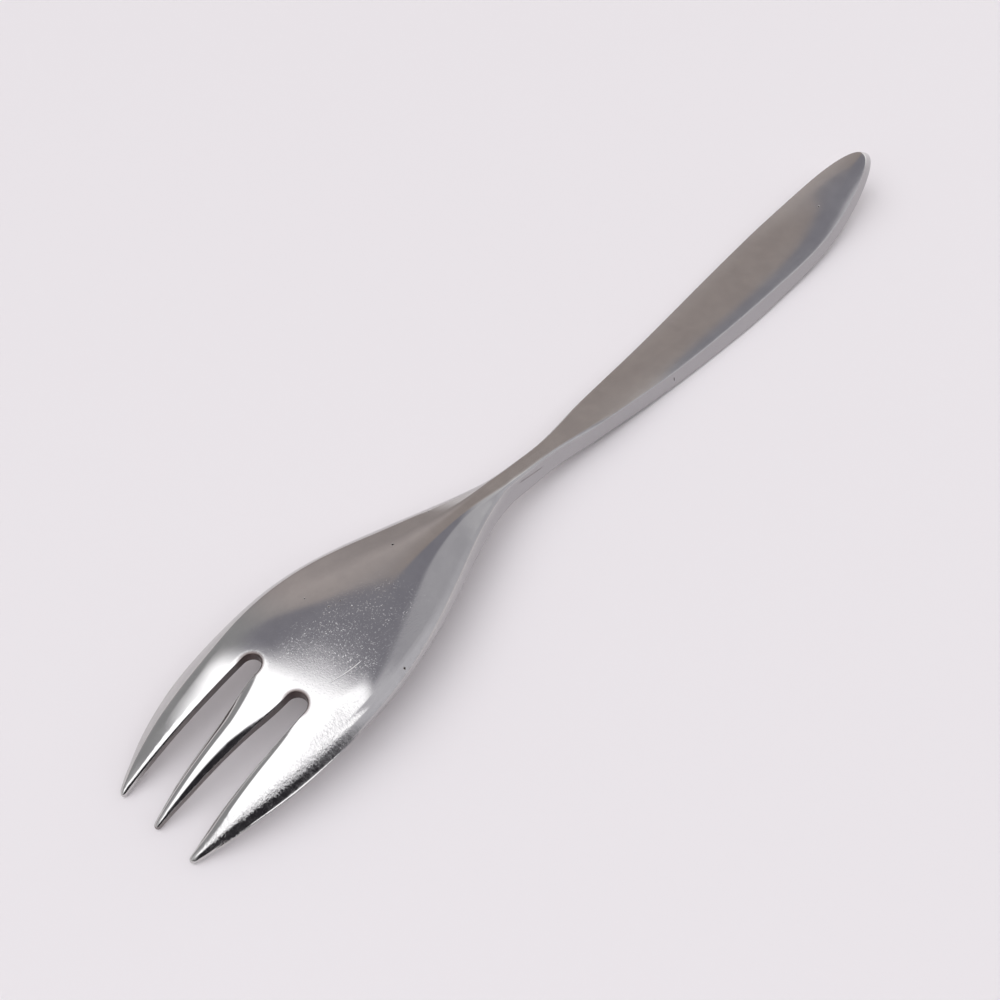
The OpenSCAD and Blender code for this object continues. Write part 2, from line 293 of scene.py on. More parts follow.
def back_station(s):
    """Station whose back height is found at s, since the back stops short at the round end."""
    past = np.maximum(s - END_START, 0.0)
    bend = END_LEAN / END_LENGTH ** 2
    return np.where(
        past > 0.0,
        END_START + (1.0 - np.sqrt(np.maximum(1.0 - 4.0 * bend * past, 0.0))) / (2.0 * bend),
        s,
    )


def bent_drop(y, flat, soft):
    """Distance down a flank of even slope, with a soft bend where it leaves the flat ridge."""
    out = np.abs(y) - flat + soft
    bent = np.maximum(out, 0.0) ** 2 / (4.0 * soft)
    return np.where(out < 2.0 * soft, bent, np.abs(y) - flat)


def palm_back(s, y):
    """Height of the back where it bends down to flanks."""
    upper = lower_edge(s) - wall_lean(s)
    flat = np.minimum(ridge_half(s), RIDGE_LIMIT * upper)
    soft = np.minimum(ridge_bend(s), flat)
    return crown(s) - flank_drop(s) * bent_drop(y, flat, soft) / bent_drop(upper, flat, soft)


def tine_half(s, is_outer):
    """Half-width of an outer tine or of the middle one."""
    if is_outer:
        return (lower_edge(s) - outer_tine_inner(s)) / 2
    return middle_tine_half(s)


def shoulder(gap, reach, fall):
    """Height lost within reach of an edge."""
    return fall * reach * np.clip(1.0 - gap / reach, 0.0, 1.0) ** 2


def slot_shoulder(s, y):
    """Height lost along the edges of the two slots."""
    on_left = y > 0.0
    out = np.abs(y)
    round_end = np.hypot(s - SLOT_CENTRE, out - SLOT_MIDDLE) - SLOT_RADIUS
    straight = np.where(out < SLOT_MIDDLE, middle_tine_half(s) - out, out - outer_tine_inner(s))
    gap = np.maximum(np.where(s > SLOT_CENTRE, round_end, straight), 0.0)
    inner = np.where(on_left, middle_left_reach(s), middle_right_reach(s))
    inner = np.minimum(tine_half(s, False), inner)
    outer = np.where(on_left, LEFT_SLOT_REACH, RIGHT_SLOT_REACH)
    outer = np.minimum(outer, tine_half(s, True))
    outward = smooth_step(-SLOT_RADIUS, SLOT_RADIUS, out - SLOT_MIDDLE)
    reach = inner + (outer - inner) * outward
    outer_fall = np.where(on_left, left_slot_fall(s), right_slot_fall(s))
    fall = middle_fall(s) + (outer_fall - middle_fall(s)) * outward
    return shoulder(gap, reach, fall)


def rim_shoulder(s, y):
    """Height lost along the outer edge of the palm and tines."""
    gap = np.maximum(lower_edge(s) - wall_lean(s) - np.abs(y), 0.0)
    return shoulder(gap, rim_reach(s), rim_fall(s)) * (1.0 - smooth_step(*RIM_ENDS, s))


def handle_shoulder(s, y):
    """Height lost along the edges of the handle's back."""
    half = (lower_edge(s) - wall_lean(s)) * end_taper(back_station(s))
    gap = np.maximum(half - np.abs(y), 0.0)
    return shoulder(gap, HANDLE_REACH, HANDLE_FALL) * smooth_step(*HANDLE_SHOULDER_STARTS, s)


def raw_top(s, y):
    """Height of the back before the tips are thinned."""
    to_handle = smooth_step(*HANDLE_BACK_STARTS, s)
    handle_back = crown(back_station(s)) - back_crown(s) * y * y - handle_shoulder(s, y)
    palm = palm_back(s, y) - slot_shoulder(s, y) - rim_shoulder(s, y)
    return palm * (1.0 - to_handle) + handle_back * to_handle


def raw_under(s, y):
    """Height of the underside before the tips are thinned."""
    middle = crown(s) - middle_thickness(s)
    foot_height = crown(s) - flank_drop(s) - wall_height(s)
    return foot_height + (middle - foot_height) * (1.0 - (y / lower_edge(s)) ** 2)


def tip_reach(s):
    """Share of the thickness left near the tips of the tines."""
    ahead = 1.0 - np.clip(s / TIP_SHRINK_LENGTH, 0.0, 1.0)
    return TIP_SHARE + (1.0 - TIP_SHARE) * np.sqrt(1.0 - ahead * ahead)


def top_height(s, y):
    """Height of the back."""
    high, low = raw_top(s, y), raw_under(s, y)
    return np.maximum((high + low) / 2 + (high - low) / 2 * tip_reach(s), 0.0)


def under_height(s, y):
    """Height of the underside."""
    high, low = raw_top(s, y), raw_under(s, y)
    return np.maximum((high + low) / 2 - (high - low) / 2 * tip_reach(s), 0.0)


def surface_normal(height, s, y):
    """Upward normal of a height over the plan."""
    ds = (height(s + SLOPE_STEP, y) - height(s - SLOPE_STEP, y)) / (2 * SLOPE_STEP)
    dy = (height(s, y + SLOPE_STEP) - height(s, y - SLOPE_STEP)) / (2 * SLOPE_STEP)
    normal = np.stack([-ds, -dy, np.ones_like(ds)], -1)
    return normal / np.linalg.norm(normal, axis=-1, keepdims=True)


def spaced(start, stop):
    """Even stations from start to stop, without the last one."""
    count = max(2, int(round(abs(stop - start) / ROW_STEP)))
    return start + (stop - start) * np.arange(count) / count


def stations(*stops):
    """Even stations through several stops in turn, without the last one."""
    return [float(s) for start, stop in zip(stops[:-1], stops[1:]) for s in spaced(start, stop)]


def half_outline():
    """Lower outline of the left half, from the handle's end round the tines to the middle tine's tip.

    Each point is (station, y, lean, upper rounding, lower rounding, share of straight sideways inset,
    direction of the inset along the fork and sideways where it is given).
    """
    made = []

    def add(s, y, inset, upper, lower, sideways=0.0, by_hand=(0.0, 0.0)):
        made.append((s, y, inset, upper, lower, sideways, *by_hand))

    def round_limit(s, is_outer):
        return TINE_ROUND_SHARE * float(tine_half(s, is_outer)) if s < TINE_CUT else math.inf

    def add_outer(s):
        limit = round_limit(s, True)
        inset = float(wall_lean(s) * smooth_step(*LEAN_STARTS, s))
        sideways = float(smooth_step(*SIDEWAYS_STARTS, s))
        upper, lower = min(float(upper_round(s)), limit), min(LOWER_ROUND, limit)
        add(s, float(lower_edge(s)), inset, upper, lower, sideways)

    def add_slot(s, y, is_outer):
        limit = round_limit(s, is_outer)
        sideways = float(smooth_step(*SIDEWAYS_STARTS, s)) if s < SLOT_CENTRE else 0.0
        add(s, y, 0.0, min(LIP_ROUND, limit), min(SOLE_ROUND, limit), sideways)

    def add_tip(s, y, is_outer):
        limit = round_limit(s, is_outer)
        add(s, y, 0.0, limit, limit)

    for turn in np.linspace(math.pi / 2, 0.0, END_COUNT, endpoint=False):
        ratio = math.sin(turn)
        s = END_START + END_LENGTH * ratio
        taper = float(end_taper(s)) if ratio < 1.0 else 0.0
        inset = END_LEAN * ratio ** 2, float(wall_lean(s)) * taper
        size = math.hypot(*inset)
        lower = LOWER_ROUND * (1.0 - END_ROUND_LOSS * ratio)
        by_hand = inset[0] / size, inset[1] / size
        add(s, float(lower_edge(s)) * taper, size, float(upper_round(s)), lower, by_hand=by_hand)
    for s in stations(END_START, HANDLE_CUT, NECK_CUT, TINE_CUT, TIP_LENGTH):
        add_outer(s)
    for turn in np.linspace(math.pi / 2, -math.pi / 2, TIP_COUNT, endpoint=False):
        s = TIP_LENGTH * (1.0 - math.cos(turn))
        middle = float(outer_tine_inner(s) + tine_half(s, True))
        add_tip(s, middle + float(tine_half(s, True)) * math.sin(turn), True)
    for s in stations(TIP_LENGTH, TINE_CUT, SLOT_CENTRE):
        add_slot(s, float(outer_tine_inner(s)), True)
    for turn in np.linspace(math.pi / 2, -math.pi / 2, ROOT_COUNT, endpoint=False):
        s = SLOT_CENTRE + SLOT_RADIUS * math.cos(turn)
        add_slot(s, SLOT_MIDDLE + SLOT_RADIUS * math.sin(turn), True)
    for s in stations(SLOT_CENTRE, TINE_CUT, TIP_LENGTH):
        add_slot(s, float(middle_tine_half(s)), False)
    for turn in np.linspace(math.pi / 2, 0.0, TIP_COUNT // 2, endpoint=False):
        s = TIP_LENGTH * (1.0 - math.cos(turn))
        add_tip(s, float(middle_tine_half(s)) * math.sin(turn), False)
    add_tip(0.0, 0.0, False)
    return np.array(made)


# Whole outline, anticlockwise seen from above. The right half has y and the sideways inset turned round.
left_half = half_outline()
right_half = left_half[1:-1][::-1] * np.array([1, -1, 1, 1, 1, 1, 1, -1])
outline = np.concatenate([left_half, right_half])
foot = outline[:, :2]
lean, round_top, round_low, sideways = outline[:, 2:6].T
by_hand = outline[:, 6:]

# Outward direction of the side wall at each point of the outline
tangent = np.roll(foot, -1, axis=0) - np.roll(foot, 1, axis=0)
outward = np.stack([tangent[:, 1], -tangent[:, 0]], 1)
outward /= np.linalg.norm(outward, axis=1, keepdims=True)
square = np.stack([np.zeros(len(foot)), np.sign(outward[:, 1])], 1)
outward = outward * (1 - sideways)[:, None] + square * sideways[:, None]
outward = np.where(np.abs(by_hand).sum(1, keepdims=True) > 0, by_hand, outward)
outward /= np.linalg.norm(outward, axis=1, keepdims=True)


def lifted(plan, height):
    """Points of the plan at their heights."""
    return np.concatenate([plan, height(plan[:, 0], plan[:, 1])[:, None]], 1)


def rounded(start, corner_point, end, t):
    """Point on the curve from start to end that a corner draws towards itself."""
    return start * (1 - t) ** 2 + 2 * corner_point * t * (1 - t) + end * t * t


# Side wall with its rounded corners, as rows from the back down to the underside
corner = lifted(foot - outward * lean[:, None], top_height)
heel = lifted(foot, under_height)
brow = lifted(foot - outward * (lean + round_top)[:, None], top_height)
sole = lifted(foot - outward * round_low[:, None], under_height)
wall = heel - corner
wall_length = np.linalg.norm(wall, axis=1)
wall_top = corner + wall * np.minimum(WALL_ROUND_SHARE, round_top / wall_length)[:, None]
wall_low = heel - wall * np.minimum(WALL_ROUND_SHARE, round_low / wall_length)[:, None]
ribbon = [rounded(brow, corner, wall_top, t) for t in np.linspace(0, 1, UPPER_CORNER_ROWS)]
ribbon += [wall_top + (wall_low - wall_top) * t for t in WALL_ROWS]
ribbon += [rounded(wall_low, heel, sole, t) for t in np.linspace(0, 1, LOWER_CORNER_ROWS)]
ribbon = np.array(ribbon)
along = np.roll(ribbon, -1, axis=1) - np.roll(ribbon, 1, axis=1)
down = np.gradient(ribbon, axis=0)
ribbon_normal = np.cross(down, along)
ribbon_normal /= np.linalg.norm(ribbon_normal, axis=2, keepdims=True)
ribbon_normal[0] = surface_normal(top_height, brow[:, 0], brow[:, 1])
ribbon_normal[-1] = -surface_normal(under_height, sole[:, 0], sole[:, 1])


def inside_distance(plan, loop):
    """Distance to a closed loop, for places inside it, and a negative number for the others."""
    ahead = np.roll(loop, -1, axis=0)
    edge = ahead - loop
    slant = np.where(edge[:, 1] == 0, 1.0, edge[:, 1])
    result = np.empty(len(plan))
    for start in range(0, len(plan), CHUNK):
        p = plan[start:start + CHUNK, None, :]
        t = np.clip(((p - loop) * edge).sum(2) / (edge * edge).sum(1), 0, 1)
        gap = np.linalg.norm(p - loop - edge * t[..., None], axis=2).min(1)
        crosses = (loop[:, 1] > p[..., 1]) != (ahead[:, 1] > p[..., 1])
        at = loop[:, 0] + (p[..., 1] - loop[:, 1]) * edge[:, 0] / slant
        odd = (crosses & (p[..., 0] < at)).sum(1) % 2 == 1
        result[start:start + CHUNK] = np.where(odd, gap, -1.0)
    return result


# Outer edge of the back, from the tine's tip to the handle's end
outer_run = brow[:int(np.argmin(left_half[:, 0])) - TIP_COUNT // 2, :2][::-1]


def clear_half(s):
    """Half-width of the back at a station, less a strip of even width along its edge."""
    around = (s - EDGE_SLOPE_STEP, s, s + EDGE_SLOPE_STEP)
    near, here, far = np.interp(around, outer_run[:, 0], outer_run[:, 1])
    slant = math.hypot(1.0, (far - near) / (2 * EDGE_SLOPE_STEP))
    return max(float(here) - EDGE_STRIP * slant, 0.0)


def even_places(width, count):
    """Even places across a width, up to its far edge."""
    return width * np.arange(1, count + 1) / count


def both_sides(half):
    """Places on both sides of the middle, with the middle."""
    return np.concatenate([-half[::-1], [0.0], half])


def back_columns(s):
    """Sideways places of the points on the back at one station, close together where it bends."""
    upper = clear_half(s)
    if s < PALM_COLUMNS_END:
        return both_sides(even_places(upper, PALM_COLUMNS))
    if s > HANDLE_COLUMNS_START:
        count = min(MOST_HANDLE_COLUMNS, int(upper / HANDLE_COLUMN_STEP))
        return both_sides(even_places(upper, max(FEWEST_HANDLE_COLUMNS, count)))
    flat = min(float(ridge_half(s)), RIDGE_LIMIT * upper)
    soft = min(float(ridge_bend(s)), flat)
    bend_end = min(flat + soft, BEND_LIMIT * upper)
    return both_sides(np.concatenate([
        even_places(flat - soft, RIDGE_COLUMNS) if flat - soft > NARROWEST_RIDGE else [],
        flat - soft + even_places(bend_end - flat + soft, BEND_COLUMNS),
        bend_end + even_places(upper - bend_end, FLANK_COLUMNS),
    ]))


def under_columns(s):
    """Sideways places of the points on the underside at one station."""
    lower = float(lower_edge(s))
    return both_sides(even_places(lower, max(FEWEST_UNDER_COLUMNS, int(lower / UNDER_COLUMN_STEP))))


on_cut = {cut: np.where(np.abs(foot[:, 0] - cut) < SAME_STATION)[0] for cut in CUTS}


def patch(loop, columns):
    """Triangles over the inside of a loop, with rows of edges on the cuts.

    Returns the points, the triangles and, for each cut, the rows of point numbers from left to right.
    """
    rows = [s for a, b in zip((FIRST_ROW,) + CUTS, CUTS + (LAST_ROW,)) for s in spaced(a, b)[1:]]
    free = np.array([(s, y) for s in rows for y in columns(s)])
    free = free[inside_distance(free, loop) > CLEAR_OF_EDGE]
    plan, edges, cut_rows = [loop, free], [], {}
    count = len(loop) + len(free)
    for cut in CUTS:
        ends = sorted(on_cut[cut], key=lambda i: -loop[i, 1])
        cut_rows[cut] = []
        for first, last in zip(ends[0::2], ends[1::2]):
            high, low = loop[first, 1], loop[last, 1]
            inner = [y for y in columns(cut)[::-1] if low + CLEAR_OF_EDGE < y < high - CLEAR_OF_EDGE]
            plan.append(np.array([(cut, y) for y in inner]).reshape(-1, 2))
            row = [first, *range(count, count + len(inner)), last]
            count += len(inner)
            edges += list(zip(row[:-1], row[1:]))
            cut_rows[cut].append(row)
    plan = np.concatenate(plan)
    made_points, _, made_faces, sources, _, _ = delaunay_2d_cdt(
        [Vector(p) for p in plan], edges, [list(range(len(loop)))], INSIDE_ONLY, SAME_POINT)
    lost = [tuple(round(c, 3) for c in made_points[i]) for i, ids in enumerate(sources) if not ids]
    if lost:
        raise ValueError(f"the outline crosses itself at {lost}")
    triangles = np.array([[sources[i][0] for i in face] for face in made_faces])
    return plan, triangles, cut_rows


back_plan, back_faces, back_rows = patch(brow[:, :2], back_columns)
under_plan, under_faces, under_rows = patch(sole[:, :2], under_columns)
back_points = lifted(back_plan, top_height)
under_points = lifted(under_plan, under_height)
back_normal = surface_normal(top_height, back_plan[:, 0], back_plan[:, 1])
under_normal = -surface_normal(under_height, under_plan[:, 0], under_plan[:, 1])

# Master list of points: the back, the inner rows of the side wall, then the underside
rim = len(foot)
last_row = len(ribbon) - 1
wall_start = len(back_points)
under_start = wall_start + (last_row - 1) * rim
points = np.concatenate([back_points, ribbon[1:-1].reshape(-1, 3), under_points])
normals = np.concatenate([back_normal, ribbon_normal[1:-1].reshape(-1, 3), under_normal])

# Nearness to an edge of the steel, from 0 on the open back to 1 on the rim
edge_share = np.concatenate([
    np.clip(1.0 - inside_distance(back_plan, brow[:, :2]) / EDGE_REACH, 0.0, 1.0),
    np.repeat(WALL_EDGE_SHARE, rim),
    np.zeros(len(under_points)),
])
edge_share[:rim] = 1.0


def rim_point(row, i):
    """Number of the point at a row of the side wall and a place on the outline."""
    if row == 0:
        return i
    if row == last_row:
        return under_start + i
    return wall_start + (row - 1) * rim + i


faces = [tuple(f) for f in back_faces] + [tuple(under_start + i for i in f[::-1]) for f in under_faces]
for row in range(last_row):
    for i in range(rim):
        k = (i + 1) % rim
        faces.append((rim_point(row, i), rim_point(row + 1, i), rim_point(row + 1, k), rim_point(row, k)))


def piece_of(face):
    """Name of the piece that a face belongs to."""
    s, y = points[list(face), :2].mean(0)
    if s > HANDLE_CUT:
        return "handle"
    if s > NECK_CUT:
        return "neck"
    if s > TINE_CUT:
        return "bowl"
    if y > SLOT_MIDDLE:
        return "left_tine"
    if y < -SLOT_MIDDLE:
        return "right_tine"
    return "middle_tine"


def cap(cut, which):
    """Ring of points round the steel at a cut, anticlockwise seen from the handle."""
    top, low = back_rows[cut][which], under_rows[cut][which]
    left_side, right_side = top[0], top[-1]
    return (
        list(top)
        + [rim_point(row, right_side) for row in range(1, last_row)]
        + [under_start + i for i in low[::-1]]
        + [rim_point(row, left_side) for row in range(last_row - 1, 0, -1)]
    )


# Caps that close each piece: the cut, which ring of it, and the pieces on its tine side and its handle side
CAPS = (
    (TINE_CUT, 0, "left_tine", "bowl"),
    (TINE_CUT, 1, "middle_tine", "bowl"),
    (TINE_CUT, 2, "right_tine", "bowl"),
    (NECK_CUT, 0, "bowl", "neck"),
    (HANDLE_CUT, 0, "neck", "handle"),
)
piece_faces = {name: [] for name in ("handle", "neck", "bowl", "left_tine", "middle_tine", "right_tine")}
piece_caps = {name: [] for name in piece_faces}
for face in faces:
    piece_faces[piece_of(face)].append(face)
for cut, which, tine_side, handle_side in CAPS:
    ring = cap(cut, which)
    piece_caps[tine_side].append((ring, (1.0, 0.0, 0.0)))
    piece_caps[handle_side].append((ring[::-1], (-1.0, 0.0, 0.0)))


def build(name, material):
    """One closed piece of the fork with the master's normals, so that no cut shows."""
    skin, caps = piece_faces[name], piece_caps[name]
    used = sorted({i for face in skin for i in face})
    number = {i: n for n, i in enumerate(used)}
    coordinates = points[used] * MM
    coordinates[:, 0] -= LENGTH / 2 * MM
    mesh = bpy.data.meshes.new(name + "_skin")
    mesh.from_pydata(
        coordinates.tolist(), [],
        [[number[i] for i in face] for face in skin] + [[number[i] for i in ring] for ring, _ in caps],
    )
    mesh.polygons.foreach_set("use_smooth", [True] * len(mesh.polygons))
    corner_normals = [tuple(normals[i]) for face in skin for i in face]
    corner_normals += [normal for ring, normal in caps for _ in ring]
    mesh.normals_split_custom_set(corner_normals)
    mesh.validate()
    mesh.update()
    mesh.attributes.new("edge", "FLOAT", "POINT").data.foreach_set("value", edge_share[used].tolist())
    piece = bpy.data.objects.new(name + "_skin", mesh)
    bpy.context.scene.collection.objects.link(piece)
    mesh.materials.append(material)
    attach(piece, "root")
    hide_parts(name)


class Graph:
    """Short calls for the nodes of one tree."""

    # Sockets of a Mix node that are used when it mixes colours
    MIX_SHARE, MIX_FIRST, MIX_SECOND, MIX_RESULT = 0, 6, 7, 2

    def __init__(self, tree):
        self.tree = tree

    def add(self, kind, *values, **settings):
        """A new node with its settings, and with values or links for its first sockets."""
        made = self.tree.nodes.new(kind)
        for key, value in settings.items():
            setattr(made, key, value)
        for socket, value in zip(made.inputs, values):
            self.feed(socket, value)
        return made

    def feed(self, socket, value):
        """Link a socket to another, or set its value."""
        if isinstance(value, bpy.types.NodeSocket):
            self.tree.links.new(value, socket)
        elif value is not None:
            socket.default_value = value

    def math(self, operation, a, b=None, c=None):
        return self.add("ShaderNodeMath", a, b, c, operation=operation).outputs[0]

    def scaled(self, value, factor, offset):
        """The value times a factor, plus an offset."""
        return self.math("MULTIPLY_ADD", value, factor, offset)

    def product(self, first, *others):
        for other in others:
            first = self.math("MULTIPLY", first, other)
        return first

    def largest(self, first, *others):
        for other in others:
            first = self.math("MAXIMUM", first, other)
        return first

    def vector(self, operation, a, b, output="Vector"):
        return self.add("ShaderNodeVectorMath", a, b, operation=operation).outputs[output]

    def dot(self, vector, direction):
        return self.vector("DOT_PRODUCT", vector, direction, "Value")

    def distance(self, vector, place):
        return self.vector("DISTANCE", vector, place, "Value")

    def step(self, value, low, high):
        """Smooth 0 to 1 as the value goes from low to high."""
        made = self.add("ShaderNodeMapRange", value, low, high, interpolation_type="SMOOTHSTEP")
        return made.outputs["Result"]

    def blend(self, share, first, second):
        """Colour that goes from the first to the second with the share."""
        made = self.add("ShaderNodeMix", data_type="RGBA")
        self.feed(made.inputs[self.MIX_SHARE], share)
        self.feed(made.inputs[self.MIX_FIRST], first)
        self.feed(made.inputs[self.MIX_SECOND], second)
        return made.outputs[self.MIX_RESULT]

    def noise(self, vector, scale, detail=2.0, roughness=0.5):
        made = self.add("ShaderNodeTexNoise", noise_dimensions="3D")
        values = {"Vector": vector, "Scale": scale, "Detail": detail, "Roughness": roughness}
        for key, value in values.items():
            self.feed(made.inputs[key], value)
        return made.outputs[0]

    def cells(self, vector, scale, dimensions):
        """Voronoi cells of a size."""
        made = self.add("ShaderNodeTexVoronoi", voronoi_dimensions=dimensions, feature="F1")
        self.feed(made.inputs["Vector"], vector)
        self.feed(made.inputs["Scale"], scale)
        return made.outputs


# Two tints of the steel, and limits between them in the noise
DARKER_STEEL = (0.56, 0.55, 0.545, 1.0)
LIGHTER_STEEL = (0.60, 0.59, 0.58, 1.0)
TINT_LIMITS = (0.3, 0.7)

# Roughness of the polished palm and of the satin handle, and its limits
POLISHED = 0.09
SATIN = 0.16
LEAST_ROUGHNESS = 0.06
MOST_ROUGHNESS = 0.9

# Length and width of the satin lines, and middle value of the noise
GRAIN_LENGTH = 9.0
GRAIN_WIDTH = 0.09
NOISE_MIDDLE = 0.5

# Where the satin finish starts and where it is full, and how far that drifts
SATIN_STARTS = (58.0, 84.0)
SATIN_DRIFT = 16.0

# Worn part of the right tine: side limit, its slant up to a station and its raggedness, ends, and spared edge
TINE_WEAR_SIDE = (-4.2, -5.4)
TINE_WEAR_SLANT = 0.2
TINE_WEAR_SLANT_END = 14.0
TINE_WEAR_RAGGED = 3.0
TINE_WEAR_STARTS = (1.0, 3.5)
TINE_WEAR_ENDS = (29.0, 20.0)
SPARED_EDGE = (0.2, 0.9)
SPARED_SHARE = 0.7

# Worn part of the palm: its ends along the fork, its sides, and its wear beside the tine's
PALM_WEAR_STARTS = (22.0, 27.0)
PALM_WEAR_ENDS = (48.0, 42.0)
PALM_WEAR_LEFT = (5.0, 1.0)
PALM_WEAR_RIGHT = (-9.5, -7.0)
PALM_WEAR_SHARE = 0.5
# Limits of the worn patches in the noise, and light wear elsewhere
WORN_PATCHES = (0.42, 0.62)
WEAR_ELSEWHERE = 0.08

# Hairlines: size of the cells, half-width and half-length of a line, and share of the cells that hold one
HAIRLINES = (
    (1.9, 0.02, 0.42, 0.3), (0.9, 0.022, 0.18, 0.4), (0.5, 0.026, 0.1, 0.5),
)
# Their spread and first angle in radians, bow, full width and length as shares, and softness of the share
HAIRLINE_SPREAD = 1.3
HAIRLINE_TURN = -0.5
HAIRLINE_BOW = 0.04
HAIRLINE_FULL_WIDTH = 0.3
HAIRLINE_FULL_LENGTH = 0.6
HAIRLINE_CHOICE = 0.05
# Flecks between them: rise on the worn tine, limits in the noise, and strength
FLECK_RISE = 0.1
FLECK_LIMITS = (0.6, 0.68)
FLECK_STRENGTH = 0.8
# Strength of all these scratches where the steel is worn, and share of it that comes in patches
SCRATCH_STRENGTH = 0.92
PATCHY_SHARE = 0.5

# Long scratch on the palm and crease on the neck: their ends, half-width and bow
LONG_SCRATCH = ((26.6, -5.7), (31.5, -6.6), 0.055, 0.16)
CREASE = ((68.6, -1.65), (74.4, -1.65), 0.035, 0.0)
# Soft edges of such a line as shares of its half-width, and at its two ends in millimetres
LINE_EDGE = (1.5, 0.4)
LINE_START = (-0.2, 0.8)
LINE_END = (0.2, -1.0)

# Dark specks: station, y and radius, then raggedness, full radius as a share, and lowest heights
SPECKS = (
    (47.1, 2.85, 0.24), (34.8, -11.05, 0.2), (55.1, 3.65, 0.16), (104.1, -4.25, 0.12), (151.2, -0.45, 0.2),
    (33.1, 5.85, 0.14), (34.2, 2.25, 0.14), (35.8, 1.65, 0.12),
)
SPECK_RAGGED = 0.12
SPECK_FULL = 0.45
SPECK_HEIGHTS = (0.8, 1.6)

# Pits: cells in a millimetre, random values of those that hold one, radius in cells, and strength where worn
PIT_CELLS = 1.1
PIT_CHANCE = (0.8, 0.86)
PIT_RADIUS = (0.16, 0.06)
PIT_STRENGTH = 0.9

# Painted shade in the slots' roots: distance from the middle of the round, and stations
ROOT_SHADE_GAP = (SLOT_RADIUS + 0.6, SLOT_RADIUS + 0.1)
ROOT_SHADE_STARTS = (SLOT_CENTRE - 3.0, SLOT_CENTRE + 1.0)

# Rubbed edges: nearness to the edge, patches of the rubbing, and how much less of it the satin has
RUB_EDGE = (0.45, 1.0)
RUB_PATCHES = (0.36, 0.62)
RUB_LOSS = 0.7

# Painted shade on the sides: upward part of the normal, stations where it comes in, and limits of the slots'
# walls
UPRIGHT = (0.75, 0.4)
SIDE_STARTS = (4.0, 16.0)
SLOT_WALL_SIDE = (SLOT_OUTER + 0.4, SLOT_OUTER + 0.1)
SLOT_WALL_END = (SLOT_END + 0.5, SLOT_END + 0.2)


